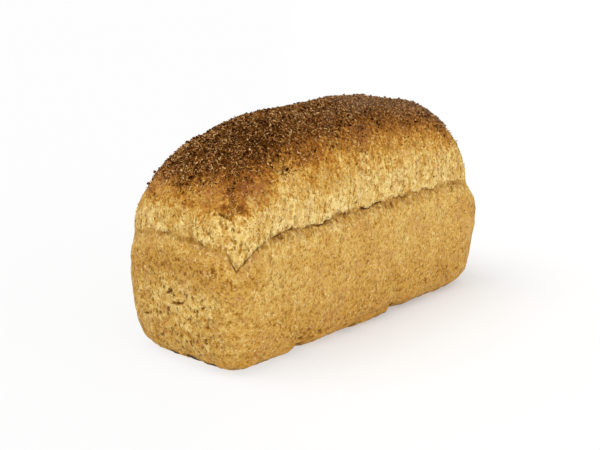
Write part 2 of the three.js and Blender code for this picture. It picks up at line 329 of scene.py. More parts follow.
def ring_list():
    """Each ring as its stretch of the profile and its share of that stretch, from the base to the spine."""
    counts = [
        (base_ring, BASE_RINGS),
        (foot_ring, FOOT_RINGS),
        (wall_ring, WALL_RINGS),
        (shoulder_ring, SHOULDER_RINGS),
        (groove_ring, GROOVE_RINGS),
    ]
    rings = [(stretch, i / count) for stretch, count in counts for i in range(count)]
    return rings + [(crown_ring, i / CROWN_RINGS) for i in range(CROWN_RINGS + 1)]


def spread_over(values, rings):
    return np.broadcast_to(values, (len(rings), len(values)))


def heal_crease(points, at, rings):
    """Evens out the profile across the crease where it is shut."""
    grooves = [i for i, (stretch, _) in enumerate(rings) if stretch is groove_ring]
    low, high = grooves[0] - HEALED_BELOW, grooves[-1] + HEALED_ABOVE
    shut = HEALING * (1 - smoothstep(at.gape, *HEALED_GAPE))[:, None]
    for _ in range(HEALING_ROUNDS):
        bend = points[low - 1 : high - 1] - 2 * points[low:high] + points[low + 1 : high + 1]
        points[low:high] += shut * bend


def crust_grid():
    """The crust's points, triangles, places on its flat map, and what it is like at each point."""
    at = Stations()
    rings = ring_list()
    points = np.array([np.stack(stretch(at, share), 1) for stretch, share in rings])
    heal_crease(points, at, rings)
    groove_share = np.array([[math.sin(q * math.pi) if s is groove_ring else 0.0] for s, q in rings])
    fields = {
        "above": points[..., 2] - at.crease,
        "rise": (points[..., 2] - at.crease) / (at.top - at.crease),
        "endness": spread_over(at.endness, rings),
        "gape": spread_over(at.gape, rings),
        "crown": np.repeat([[float(s is crown_ring)] for s, _ in rings], at.count, 1),
        # Painted shade in the groove, more where it is deeper
        "groove": spread_over(smoothstep(at.groove, *GROOVE_DARK), rings) * groove_share,
    }
    row, column = np.meshgrid(np.arange(len(rings) - 1), np.arange(at.count), indexing="ij")
    corners = np.array([[0, 0], [0, 1], [1, 1], [0, 0], [1, 1], [1, 0]])
    rows = (row[..., None] + corners[:, 0]).reshape(-1, 3)
    columns = (column[..., None] + corners[:, 1]).reshape(-1, 3)
    flat_map = np.stack([columns / at.count, rows / (len(rings) - 1)], -1)
    triangles = rows * at.count + columns % at.count
    keys = np.round(points.reshape(-1, 3), MERGED_DIGITS)
    _, first, merged = np.unique(keys, axis=0, return_index=True, return_inverse=True)
    triangles = merged.reshape(-1)[triangles]
    kept = (np.diff(np.sort(triangles, 1), axis=1) > 0).all(1)
    fields = {name: np.ascontiguousarray(field).reshape(-1)[first] for name, field in fields.items()}
    return points.reshape(-1, 3)[first], triangles[kept], flat_map[kept], fields


def new_object(name, data):
    thing = bpy.data.objects.new(name, data)
    bpy.context.scene.collection.objects.link(thing)
    return thing


def mesh_object(name, points, triangles, flat_map, fields, smooth):
    """A piece from points in millimetres, with its flat map and its fields."""
    mesh = bpy.data.meshes.new(name)
    mesh.vertices.add(len(points))
    mesh.vertices.foreach_set("co", (points * MM).astype(np.float32).ravel())
    mesh.loops.add(3 * len(triangles))
    mesh.loops.foreach_set("vertex_index", triangles.astype(np.int32).ravel())
    mesh.polygons.add(len(triangles))
    mesh.polygons.foreach_set("loop_start", np.arange(0, 3 * len(triangles), 3, dtype=np.int32))
    mesh.polygons.foreach_set("use_smooth", np.full(len(triangles), smooth))
    mesh.update(calc_edges=True)
    layer = mesh.uv_layers.new(name="OFBake")
    layer.data.foreach_set("uv", flat_map.astype(np.float32).ravel())
    for field, values in fields.items():
        mesh.attributes.new(field, "FLOAT", "POINT").data.foreach_set("value", values.astype(np.float32))
    return new_object(name, mesh)


def unit(vectors):
    return vectors / np.maximum(np.linalg.norm(vectors, axis=1, keepdims=True), SHORTEST)


def face_normals(points, triangles):
    """Normals of triangles, each twice as long as its triangle is large."""
    a, b, c = (points[triangles[:, i]] for i in range(3))
    return np.cross(b - a, c - a)


def vertex_normals(points, triangles):
    face = face_normals(points, triangles)
    normals = np.zeros_like(points)
    for i in range(3):
        np.add.at(normals, triangles[:, i], face)
    return unit(normals)


# Relief of the crust, in millimetres
SWELLS, BUMPS, GRAINS, TEARS, CRUMBS = 0.5, 0.45, 0.32, 0.8, 0.7
TEARS_LONG = 5  # how far they are drawn out along Z
CRUMBS_STRETCHED = 0.6  # share of their height that crumbs have where the dough is stretched
WARP = 2.2  # how far outlines are drawn aside to make them ragged
LIP_RAGGED, LIP_REACH = 1.2, 2.5
SMALL_PIT, SMALL_PIT_SIZE = 0.6, (4.4, 0.4)  # depth, size of a cell and radius in cells
SMALL_PIT_SHARE = (0.22, 0.77)  # of cells with a pit, outside the patch and in it
SMALL_PIT_ON_CROWN = 0.4  # share of their depth that small pits have there
LARGE_PIT, LARGE_PIT_SIZE, LARGE_PIT_SHARE, LARGE_PIT_SHIFT = 0.5, (6, 0.34), 0.6, 55
FOOT_CHIP, FOOT_CHIP_CHANCE, FOOT_CHIP_TOP = 0.5, (0.2, 0.45), (4.8, 8)
FRONT_CHIPS = [(27, 6, 3.0), (-71, 8, 2.2), (-17, 3, 1.3)]  # place along the edge, half-length, depth
FRONT_CHIP_FULL = 0.7  # share of its half-length where a chip has its full depth
ON_FRONT = -24  # the front's edge lies beyond this Y
FRONT_LIP, FRONT_LIP_PLACE = 1.4, (4, 3)  # the places here are middle and reach, up the wall
FRONT_LEDGE, FRONT_LEDGE_PLACE = 1.2, (9, 1.6)
FRONT_LIP_RISE, FRONT_LIP_STOP = (-24, -6), (20.5, 22)  # along the front
END_LIP, END_LIP_PLACE, END_LIP_FADE = 0.8, (4, 4), (-104, -118)
DENT_MIDDLE, DENT_REACH, DENT_DEPTH = np.array([-131, 36, 14]), 6.5, 2.6  # at the end's far corner
BASE_FADE = 0.8
PATCH_MIDDLE, PATCH_REACH = np.array([-136, -4, 28]), np.array([26, 45, 38])
PATCH_RAGGED, PATCH_EDGE = 0.5, (0.65, 1.15)
FLOUR_MIDDLE, FLOUR_REACH = np.array([-120, -46, 83]), 14
FLOUR_RAGGED, FLOUR_EDGE = 0.6, (0.5, 1.1)
STRETCHED_RISE, STRETCHED_UNDER, STRETCHED_SHUT = (0.45, 0.75), (-20, -3), 0.35
CRACK_DEPTH, CRACK_RAGGED, CRACK_EDGE = 1.5, 0.6, (0.5, 1.5)
CRACKS = [  # ends and half-width
    # torn arc over the near corner, and the chain of holes under it
    ((-129.9, -30.3, 100.8), (-128.6, -34, 100.6), 0.45),
    ((-128.6, -34, 100.6), (-127.2, -36.6, 99.8), 0.85),
    ((-127.2, -36.6, 99.8), (-124.6, -39.6, 97.5), 0.55),
    ((-129.8, -36.4, 95.6), (-129.5, -36.8, 94.2), 0.7),
    ((-128.3, -39.7, 93.6), (-128, -40.1, 93.1), 0.6),
    ((-125.5, -41.4, 92.2), (-124.9, -42, 91.8), 0.55),
    ((-122.8, -43.7, 91.6), (-122.3, -44.1, 90.9), 0.7),
    ((-132.1, -31.8, 92.8), (-131.9, -32.6, 92), 0.5),
    ((-133.3, -28.2, 89.9), (-133.2, -28.9, 89.2), 0.5),
    # slits and holes in the end's wall
    ((-136.2, 5.8, 46.1), (-136.3, 1, 49.1), 0.6),
    ((-136, 0.6, 41.1), (-136, -3.6, 41.1), 0.55),
    ((-136, -3.6, 41.1), (-136.1, -9.2, 43.1), 0.45),
    ((-135.8, 5.2, 36.4), (-135.8, 4.6, 35.4), 0.9),
    ((-135.7, 13.6, 32.5), (-135.7, 13.4, 31.2), 0.8),
    ((-134.8, 28, 27.9), (-135.5, 21.5, 29.1), 0.6),
    ((-135.9, -25, 42.6), (-135.9, -26.2, 43.5), 0.8),
    ((-134.5, -25.4, 22.6), (-134.5, -26.4, 21), 0.8),
    # spots along the front's foot
    ((-55.6, -49.7, 12.5), (-56.6, -49.7, 12.2), 0.8),
    ((-61.5, -46.9, 9.6), (-64, -46.9, 9.4), 0.9),
    ((-71.5, -46.9, 11.8), (-74.5, -46.9, 11.4), 0.9),
    ((-27, -47.4, 8.2), (-28.2, -47.4, 7.9), 0.7),
]
TEAR_RUN = np.array([0, -1.1, -2.1])  # of the short tears that hang from the front's crease
TEARS_FROM = [  # top and half-width
    ((-105.7, -49.3, 83.3), 0.6),
    ((-91.7, -48.3, 84.1), 0.9),
    ((-84.5, -47.6, 86.4), 0.6),
    ((-61.8, -49.8, 81.0), 0.8),
    ((-48.9, -50.1, 81.9), 0.6),
    ((-38.6, -48.6, 82.9), 0.6),
    ((-29.5, -47.4, 84.6), 0.7),
    ((-9.8, -47.5, 83.4), 0.6),
    ((0.7, -46.9, 84.6), 0.7),
    ((14.6, -48.6, 82.6), 0.7),
    ((21.1, -48.0, 83.0), 0.8),
    ((32.2, -47.7, 84.6), 0.9),
    ((46.2, -48.0, 83.2), 0.7),
    ((59.5, -47.2, 86.0), 0.7),
    ((95.9, -48.2, 81.8), 0.5),
]
CRACKS += [(top, top + TEAR_RUN, width) for top, width in TEARS_FROM]
PALE_PLACE, PALE_REACH = np.array([-98, -50.5, 75]), 13  # on the front, under the crease
TOASTED_PLACE, TOASTED_REACH = np.array([-136, 11, 53]), 13  # on the left end
SLOTS = [  # painted shadow in the gaps under the end's foot
    ((-126.9, 11.6, 4.8), (-126.9, 7.2, 4.8), 2.1),
    ((-127.2, -4.2, 5.4), (-127.2, -10.2, 5.4), 2.8),
    ((-126.7, -20, 5.0), (-126.2, -25.2, 5.0), 2.3),
]
SCORCHED = [  # place, reach, and how much browner it is, or paler if under 0
    ((-125, -35.8, 103.7), 3, 0.35),
    ((-117, -40.8, 103.1), 3, 0.35),
    ((-115.6, -43.8, 100), 2, 0.35),
    ((-104, -33, 121.6), 10, 0.03),
    ((-86, -16, 136.5), 14, 0.08),
    ((-62, -28, 133), 12, 0.06),
    ((-75, -38.5, 121), 9, -0.27),
    ((-20, -38, 125), 10, -0.08),
    ((2.6, -38.8, 125.4), 12, -0.07),
    ((61, -43, 113), 16, -0.08),
    ((-120.6, -13, 121.5), 10, -0.05),
    ((-125, 6.6, 116), 8, -0.07),
    ((-108, 26, 125), 14, -0.1),
]
ROSY_PLACES = [  # place, reach, and how rosy it is
    ((-106, -40.5, 111), 9, 1),
    ((-126, -25, 111), 8, 1),
    ((-126, 18, 112), 8, 1),
    ((3, -36, 130), 9, 1),
]

# How brown the crown is: its rise with these added, less so on the right, and where its scale starts
BAKE_ON_ENDS, BAKE_TORN, BAKE_FLOURY, BAKE_PATCHY, BAKE_SPOTTY = 0.075, 0.17, -0.15, 0.14, 0.11
BAKE_ON_RIGHT, BAKE_TURN = 0.83, (20, 120)
BAKE_START, BAKE_SCALE = 0.33, 0.72
# How pale the dough is in each kind of place, and where those beside the crease end
PALENESS = {"patch": 0.85, "flour": 0.08, "lip": 0.4, "under": 0.35, "over": 0.55, "side": 0.25, "spot": 0.8}
PALEST = 1.3
UNDER_CREASE, OVER_CREASE, OVER_ON_ENDS, RIGHT_END = (-12, -2), (4, 18), 0.4, (60, 120)
# Painted shade: the crease's dark line, broken in places, and the dark of chips, ledge and hollows, with
# painted light on the relief's bumps; and the dark of the sole's edge
CREASE_LINE, CREASE_LINE_PLACE, CREASE_LINE_KEPT, CREASE_LINE_BROKEN = 0.62, (-0.6, 1.3), 0.55, 1.2
CHIP_DARK, LEDGE_DARK = (0.4, 1.0), 0.4
SOLE_DARK, SOLE_TOP, SOLE_CHANCE = 0.5, (3, 9), (-0.3, 0.2)
RELIEF_SHADE, RELIEF_SHADE_LEAST = -1.3, -0.6
# Shreds under the crease, brown partly as painted shade under the lip
SHRED_UNDER, SHRED_SHUT = (-10, -1), 0.4
FLOUR_PITTED = 0.9
# Toasted walls: browner downwards, in a band across the ends, and at one place
TOAST_DOWN, BAND_FOOT, BAND_TOP, TOASTED, TOASTED_MOST = (-25, -75), (48, 62), (-14, -5), 0.7, 1.2
RIM_TOP = (2, 16)
# Painted sheen on the top, a greyer tone standing in for light glancing off it: upward share of its normal,
# on the left and on the right, and where it starts
PAINTED_SHEEN_STEEPEST, PAINTED_SHEEN_STEEPER, PAINTED_SHEEN_FLAT, PAINTED_SHEEN_RAGGED = (0.72, 0.45), (50, 110), 0.99, 0.15
PAINTED_SHEEN_START, PAINTED_SHEEN_START_RAGGED = (-35, 40), 30


def rough_patch(points):
    """The paler, pitted part of the left end."""
    away = np.linalg.norm((points - PATCH_MIDDLE) / PATCH_REACH, axis=1)
    return 1 - smoothstep(away + PATCH_RAGGED * perlin("patch", points), *PATCH_EDGE)


def floury_corner(points):
    """The palest part, where the dough stretched over the near corner."""
    away = np.linalg.norm(points - FLOUR_MIDDLE, axis=1) / FLOUR_REACH
    return 1 - smoothstep(away + FLOUR_RAGGED * perlin("flour", points), *FLOUR_EDGE)


def cracks(points, places):
    """From 0 to 1, how deep a point is in one of some short cracks."""
    depth = np.zeros(len(points))
    ragged = CRACK_RAGGED * perlin("cracks", points)
    for start, end, width in places:
        run = np.subtract(end, start)
        share = np.clip((points - start) @ run / (run @ run), 0, 1)
        away = np.linalg.norm(points - start - share[:, None] * run, axis=1)
        depth = np.maximum(depth, 1 - smoothstep((away + ragged) / width, *CRACK_EDGE))
    return depth


def front_lip(points):
    """The fold of crust along the front's foot, and the shallow ledge above it: both from 0 to 1."""
    x, y, z = points.T
    along = smoothstep(x, *FRONT_LIP_RISE) * (1 - smoothstep(x, *FRONT_LIP_STOP)) * (y < 0)
    return along * hump(z, *FRONT_LIP_PLACE), along * hump(z, *FRONT_LEDGE_PLACE)


def foot_chips(points):
    """How deep the lowest edge is broken away, in some known places and in some by chance."""
    x, y, z = points.T
    chips = FOOT_CHIP * smoothstep(perlin("foot chips", points * (1, 1, 0)), *FOOT_CHIP_CHANCE)
    for place, reach, depth in FRONT_CHIPS:
        known = depth * smoothstep(np.abs(x - place), reach, FRONT_CHIP_FULL * reach)
        chips = np.maximum(chips, known * (y < ON_FRONT))
    return chips * (1 - smoothstep(z, *FOOT_CHIP_TOP))


def warped(points):
    """Points moved about by noise, so that what is drawn at them has ragged outlines."""
    moves = [perlin(name, points) for name in ("warp x", "warp y", "warp z")]
    return points + WARP * np.stack(moves, 1)


def painted_sheen_share(points, normals):
    """From 0 to 1, how much painted sheen the top has, a greyer tone standing in for light glancing off it:
    where it lies flat, towards the right.
    """
    uneven = perlin("dull top", points)
    steepest = lerp(*PAINTED_SHEEN_STEEPEST, smoothstep(points[:, 0], *PAINTED_SHEEN_STEEPER))
    flat = smoothstep(normals[:, 2] + PAINTED_SHEEN_RAGGED * uneven, steepest, PAINTED_SHEEN_FLAT)
    return flat * smoothstep(points[:, 0] + PAINTED_SHEEN_START_RAGGED * uneven, *PAINTED_SHEEN_START)


class Crust:
    """What the crust is like at each point, for its relief and its colours."""

    def __init__(self, points, triangles, fields):
        self.points, self.normals = points, vertex_normals(points, triangles)
        self.x, _, self.z = points.T
        self.above, self.rise, self.endness = fields["above"], fields["rise"], fields["endness"]
        self.gape, self.groove, self.crown = fields["gape"], fields["groove"], fields["crown"]
        self.wall = 1 - self.crown
        self.patch = rough_patch(points)
        self.flour = floury_corner(points)
        self.crack = cracks(points, CRACKS)
        self.slot = cracks(points, SLOTS)
        self.ragged = warped(points)
        self.tears = perlin("tears", self.ragged / (1, 1, TEARS_LONG))
        self.lip = np.exp(-np.abs(self.above) / LIP_REACH) * self.crown
        self.chips = foot_chips(points)
        self.fold, self.ledge = front_lip(points)
        self.stretched = self.crown * (1 - smoothstep(self.rise, *STRETCHED_RISE))
        self.stretched += self.hanging(STRETCHED_UNDER, STRETCHED_SHUT)
        self.fine = self.fine_relief()

    def hanging(self, reach, shut):
        """From 0 to 1, how much dough hangs in shreds under the crease."""
        return self.wall * smoothstep(self.above, *reach) * np.clip(shut + self.gape, 0, 1)

    def fine_relief(self):
        """Height of grains, torn streaks, crumbs, pits and cracks."""
        small = pits(self.ragged, *SMALL_PIT_SIZE, lerp(*SMALL_PIT_SHARE, self.patch))
        large = pits(self.ragged + LARGE_PIT_SHIFT, *LARGE_PIT_SIZE, LARGE_PIT_SHARE)
        crumbly = np.maximum(CRUMBS_STRETCHED * self.stretched, self.patch)
        fine = GRAINS * perlin("grains", self.points) * (1 + self.patch)
        fine += TEARS * self.tears * self.stretched
        fine += CRUMBS * perlin("crumbs", self.ragged) * crumbly
        fine -= SMALL_PIT * small * lerp(SMALL_PIT_ON_CROWN, 1, self.wall)
        fine -= LARGE_PIT * large * self.patch
        fine -= CRACK_DEPTH * self.crack
        return fine

    def moved(self):
        """The points, moved along their normals by the whole relief."""
        height = SWELLS * perlin("swells", self.points) + BUMPS * perlin("bumps", self.points) + self.fine
        height += LIP_RAGGED * perlin("lip", self.points) * self.lip
        height += FRONT_LIP * self.fold - FRONT_LEDGE * self.ledge - self.chips * (1 - self.slot)
        height += END_LIP * hump(self.z, *END_LIP_PLACE) * smoothstep(self.x, *END_LIP_FADE)
        height -= DENT_DEPTH * nearness(self.points, DENT_MIDDLE, DENT_REACH)
        height *= smoothstep(self.z, 0, BASE_FADE)
        moved = self.points + self.normals * height[:, None]
        moved[:, 2] = np.maximum(moved[:, 2], 0)
        return moved

    def bake(self):
        """From 0 to 1, how brown the crown is."""
        brown = self.rise + BAKE_ON_ENDS * self.endness + BAKE_TORN * self.tears + BAKE_FLOURY * self.flour
        brown += BAKE_PATCHY * perlin("bake", self.points) + BAKE_SPOTTY * perlin("bake spots", self.ragged)
        brown += added_near(SCORCHED, self.ragged)
        brown *= lerp(1, BAKE_ON_RIGHT, smoothstep(self.x, *BAKE_TURN))
        return np.clip((brown - BAKE_START) / BAKE_SCALE, 0, 1) * self.crown

    def pale(self):
        """How pale the dough is."""
        low = self.crown * (1 - smoothstep(self.above, *OVER_CREASE))
        paler = {
            "patch": self.patch,
            "flour": self.flour,
            "lip": self.lip,
            "under": self.wall * smoothstep(self.above, *UNDER_CREASE),
            "over": low * lerp(1, OVER_ON_ENDS, self.endness),
            "side": self.crown * (1 - self.endness + smoothstep(self.x, *RIGHT_END)),
            "spot": nearness(self.points, PALE_PLACE, PALE_REACH),
        }
        return np.clip(sum(PALENESS[kind] * share for kind, share in paler.items()), 0, PALEST)

    def dark(self):
        """From 0 to 1, how dark the crease, the chips and the ledge are, as painted shade."""
        kept = np.clip(CREASE_LINE_KEPT + CREASE_LINE_BROKEN * perlin("crease line", self.ragged), 0, 1)
        line = CREASE_LINE * hump(self.above, *CREASE_LINE_PLACE) * kept
        shades = [self.groove, smoothstep(self.chips, *CHIP_DARK), line, LEDGE_DARK * self.ledge]
        return np.max(shades, axis=0)

    def gap_shadow_and_dark_sole(self):
        """From 0 to 1, the painted shadow in the gaps under the end's foot, and how dark the sole's edge is
        in places.
        """
        chance = smoothstep(perlin("sole", self.points), *SOLE_CHANCE)
        return np.maximum(self.slot, SOLE_DARK * (1 - smoothstep(self.z, *SOLE_TOP)) * chance)

    def toast(self):
        """How toasted the walls are."""
        band = smoothstep(self.z, *BAND_FOOT) * (1 - smoothstep(self.above, *BAND_TOP))
        toast = smoothstep(self.above, *TOAST_DOWN) + self.endness * band
        toast += TOASTED * nearness(self.points, TOASTED_PLACE, TOASTED_REACH)
        return np.clip(toast, 0, TOASTED_MOST) * self.wall

    def fields(self):
        """What the colours need at each point."""
        return {
            "crown": self.crown,
            "bake": self.bake(),
            "groove": self.dark(),
            "crack": self.crack,
            "gap_shadow_and_dark_sole": self.gap_shadow_and_dark_sole(),
            # Painted shade in the relief's hollows, and painted light on its bumps
            "relief_shade": np.clip(RELIEF_SHADE * self.fine, RELIEF_SHADE_LEAST, 1),
            "stretched": self.stretched,
            "pale": self.pale(),
            "shred_and_lip_shade": self.hanging(SHRED_UNDER, SHRED_SHUT),
            "patch": np.maximum(self.patch, FLOUR_PITTED * self.flour),
            "rosy": np.clip(added_near(ROSY_PLACES, self.ragged), 0, 1) * self.crown,
            # Painted sheen on the flat top of the crown
            "top": painted_sheen_share(self.points, self.normals) * self.crown,
            "toast": self.toast(),
            "rim": 1 - smoothstep(self.z, *RIM_TOP),
        }


# Faint light off the dusty surface at grazing angles
SHEEN, SHEEN_ROUGHNESS, SHEEN_TINT = 0.16, 0.3, (1.0, 0.86, 0.6)
NOISE_MIDDLE = 0.5
# Specks, in shares of their cells: how wide and how far they are warped, least size, core, and draw's edge
SPECK_WARP_ACROSS, SPECK_WARP_DETAIL, SPECK_WARP = 0.6, 1.0, 0.9
SPECK_LEAST, SPECK_CORE, SPECK_DRAW_EDGE = 0.5, 0.4, 0.03
MIX_SHARE, MIX_FIRST, MIX_SECOND, MIX_RESULT = 0, 6, 7, 2  # sockets for the mixing of colours
NEW_STOP = 0.5  # where a ramp's stop is added, before it goes to its own place


class Shader:
    """A material's node tree. Each call adds nodes and gives the socket of their result."""

    def __init__(self, name):
        self.material = bpy.data.materials.new(name)
        self.material.use_nodes = True
        self.tree = self.material.node_tree
        self.principled = self.tree.nodes["Principled BSDF"]
        self.place = self.tree.nodes.new("ShaderNodeTexCoord").outputs["Object"]

    def add(self, kind, inputs, **settings):
        node = self.tree.nodes.new(kind)
        for key, value in settings.items():
            setattr(node, key, value)
        self.feed(node, inputs)
        return node

    def feed(self, node, inputs):
        """Links or sets some of a node's inputs."""
        for key, value in inputs.items():
            if isinstance(value, bpy.types.NodeSocket):
                self.tree.links.new(value, node.inputs[key])
            else:
                node.inputs[key].default_value = value

    def noise(self, across, detail, upright=1, ragged=0):
        """Noise about 0, from -0.5 to 0.5, with features some millimetres across."""
        inputs = {"Vector": self.place, "Scale": (1, 1, 1 / upright)}
        place = self.add("ShaderNodeMapping", inputs).outputs["Vector"]
        inputs = {"Vector": place, "Scale": 1 / (across * MM), "Detail": detail, "Distortion": ragged}
        return self.plus(self.add("ShaderNodeTexNoise", inputs).outputs["Fac"], -NOISE_MIDDLE)

    def specks(self, across, size, share, upright=1):
        """A mask of ragged specks in a share of the cells, which are some millimetres across."""
        scale = 1 / (SPECK_WARP_ACROSS * across * MM)
        inputs = {"Vector": self.place, "Scale": scale, "Detail": SPECK_WARP_DETAIL}
        warp = self.add("ShaderNodeTexNoise", inputs).outputs["Color"]
        inputs = {0: warp, 1: [SPECK_WARP * across * MM] * 3, 2: self.place}
        place = self.add("ShaderNodeVectorMath", inputs, operation="MULTIPLY_ADD").outputs["Vector"]
        inputs = {"Vector": place, "Scale": (1, 1, 1 / upright)}
        place = self.add("ShaderNodeMapping", inputs).outputs["Vector"]
        cells = self.add("ShaderNodeTexVoronoi", {"Vector": place, "Scale": 1 / (across * MM)})
        draws = self.add("ShaderNodeSeparateColor", {"Color": cells.outputs["Color"]}).outputs
        away = self.maths("DIVIDE", cells.outputs["Distance"], self.plus(draws["Green"], SPECK_LEAST))
        inside = self.between(away, size, SPECK_CORE * size)
        return self.times(inside, self.between(draws["Red"], 1 - share, 1 - share + SPECK_DRAW_EDGE))

    def field(self, name):
        return self.add("ShaderNodeAttribute", {}, attribute_name=name).outputs["Fac"]

    def between(self, value, low, high):
        inputs = {"Value": value, "From Min": low, "From Max": high}
        return self.add("ShaderNodeMapRange", inputs, interpolation_type="SMOOTHSTEP").outputs["Result"]

    def maths(self, operation, first, second):
        return self.add("ShaderNodeMath", {0: first, 1: second}, operation=operation).outputs["Value"]

    def times(self, first, second):
        return self.maths("MULTIPLY", first, second)

    def plus(self, first, second):
        return self.maths("ADD", first, second)

    def total(self, weights, parts):
        """The sum of named parts, each with its weight."""
        return functools.reduce(self.plus, [self.times(parts[name], weights[name]) for name in weights])

    def layer(self, colour, mask, strength, over):
        """A colour with another over it through a mask."""
        return self.mix(self.times(mask, strength), colour, over)

    def mix(self, share, first, second):
        first, second = (c if isinstance(c, bpy.types.NodeSocket) else (*c, 1) for c in (first, second))
        inputs = {MIX_SHARE: share, MIX_FIRST: first, MIX_SECOND: second}
        return self.add("ShaderNodeMix", inputs, data_type="RGBA").outputs[MIX_RESULT]

    def ramp(self, value, stops):
        node = self.add("ShaderNodeValToRGB", {"Fac": value})
        elements = node.color_ramp.elements
        while len(elements) < len(stops):
            elements.new(NEW_STOP)
        for element, (place, colour) in zip(elements, stops):
            element.position = place
            element.color = (*colour, 1)
        return node.outputs["Color"]

    def finish(self, colour, roughness, gloss=0.0, sheen=0.0, height=None, depth=0.0):
        inputs = {
            "Base Color": colour,
            "Roughness": roughness,
            "Specular IOR Level": gloss,
            "Sheen Weight": sheen,
            "Sheen Roughness": SHEEN_ROUGHNESS,
            "Sheen Tint": (*SHEEN_TINT, 1),
        }
        if height is not None:
            bump = {"Height": height, "Distance": depth * MM, "Strength": 1.0}
            inputs["Normal"] = self.add("ShaderNodeBump", bump).outputs["Normal"]
        self.feed(self.principled, inputs)
        return self.material


# Colours of the crust, as linear red, green and blue, from browned to pale
TIN_TONES = [
    (0.05, (0.21, 0.082, 0.009)),
    (0.28, (0.44, 0.215, 0.033)),
    (0.50, (0.62, 0.37, 0.088)),
    (0.70, (0.77, 0.54, 0.172)),
    (0.95, (0.91, 0.72, 0.32)),
]
CROWN_TONES = [
    (0.0, (0.69, 0.42, 0.090)),
    (0.18, (0.57, 0.290, 0.046)),
    (0.38, (0.41, 0.165, 0.022)),
    (0.6, (0.25, 0.085, 0.012)),
    (0.9, (0.105, 0.032, 0.005)),
]
ROSY = (0.50, 0.245, 0.090)
PORE_BROWN = (0.27, 0.125, 0.009)
BRAN_FLECK = (0.28, 0.110, 0.010)
# Layers over the crust: strength and colour
# Brown streaks of torn dough under the crease, darker partly as painted shade under the lip
SHREDS_AND_LIP_SHADE = (1.0, (0.34, 0.155, 0.033))
ROSY_SPOTS, ROSY_CLOUDS = (0.4, ROSY), (0.3, ROSY)
PALE_FLECKS = (0.6, (0.92, 0.71, 0.35))
ORANGE_RIM = (0.55, (0.66, 0.32, 0.039))
ROSY_BROWN = (0.5, (0.33, 0.125, 0.056))
# Painted sheen over the top
PAINTED_SHEEN_TOP = (0.45, (0.36, 0.22, 0.13))
PORES, FIBRES = (0.65, PORE_BROWN), (0.85, PORE_BROWN)
# Painted shade in the pits
PIT_SHADE = (0.8, (0.22, 0.104, 0.008))
CREASE_SHADE = (0.9, (0.24, 0.095, 0.003))
# Painted shade in the cracks, the holes and the foot's spots
CRACK_SHADE = (0.9, (0.115, 0.038, 0.002))
GAP_SHADOW_AND_SOLE_DARK = (1.0, (0.030, 0.014, 0.004))
FLECK_STRENGTH, FLECK_STRENGTH_ON_RIM = 0.55, 0.35
# Patterns in the colours: millimetres across, detail, how far drawn out along Z, and raggedness
MOTTLE, BLOTCH, GRAIN, STREAK = (24, 3), (3.4, 3), (1.6, 2), (2.4, 2.5, 3, 0.6)
FLUSH, CLOUDS, PAINTED_SHEEN_PATCHES = (3.3, 2), (15, 2), (4.5, 2)
FIBRE, TUFTS = (1.5, 1.5, 4), (9, 1)
# Specks in the colours: millimetres across a cell, size, share of the cells, how far drawn out along Z
PALE_SPECKS, FLECK_SPECKS = (1.8, 0.42, 0.34), (2.3, 0.36, 0.5, 1.6)
PIT_SPECKS, PORE_SPECKS = (2.5, 0.38, 0.75, 1.8), (2.6, 0.4, 0.7, 2.4)
# Values of the patterns between which a layer goes from none to full
PITTED, FIBROUS, TUFTED, SHREDDED = (0.0, 0.25), (0.04, 0.14), (-0.08, 0.12), (-0.1, 0.12)
FLUSHED, CLOUDED, ROSIEST, PAINTED_SHEEN_EDGE, BAKED = (0.0, 0.22), (0.0, 0.2), (-0.25, 0.1), (-0.18, 0.1), (0.05, 0.2)
# Weights of what lightens the dough, of what browns the crown, and of what stands out of the surface
DOUGH_MIDDLE = 0.54
DOUGH_WEIGHTS = {"grain": 1.1, "blotch": 0.9, "mottle": 0.5, "relief_shade": -0.22, "lines": 0.65}
DOUGH_WEIGHTS |= {"pale": 0.14, "toast": -0.18, "crown": 0.115}
BAKE_WEIGHTS = {"grain": 1.15, "blotch": 0.65, "relief_shade": 0.1, "lines": -0.325, "bake": 1.0}
BUMP_WEIGHTS, BUMP_DEPTH = {"grain": 1.0, "fleck": -0.25, "pit": -0.6, "fibre": -0.6}, 0.9
CRUST_ROUGHNESS, BRAN_ROUGHNESS, ROUGHNESS_SPREAD, CRUST_GLOSS = 0.8, 0.7, 0.3, 0.06


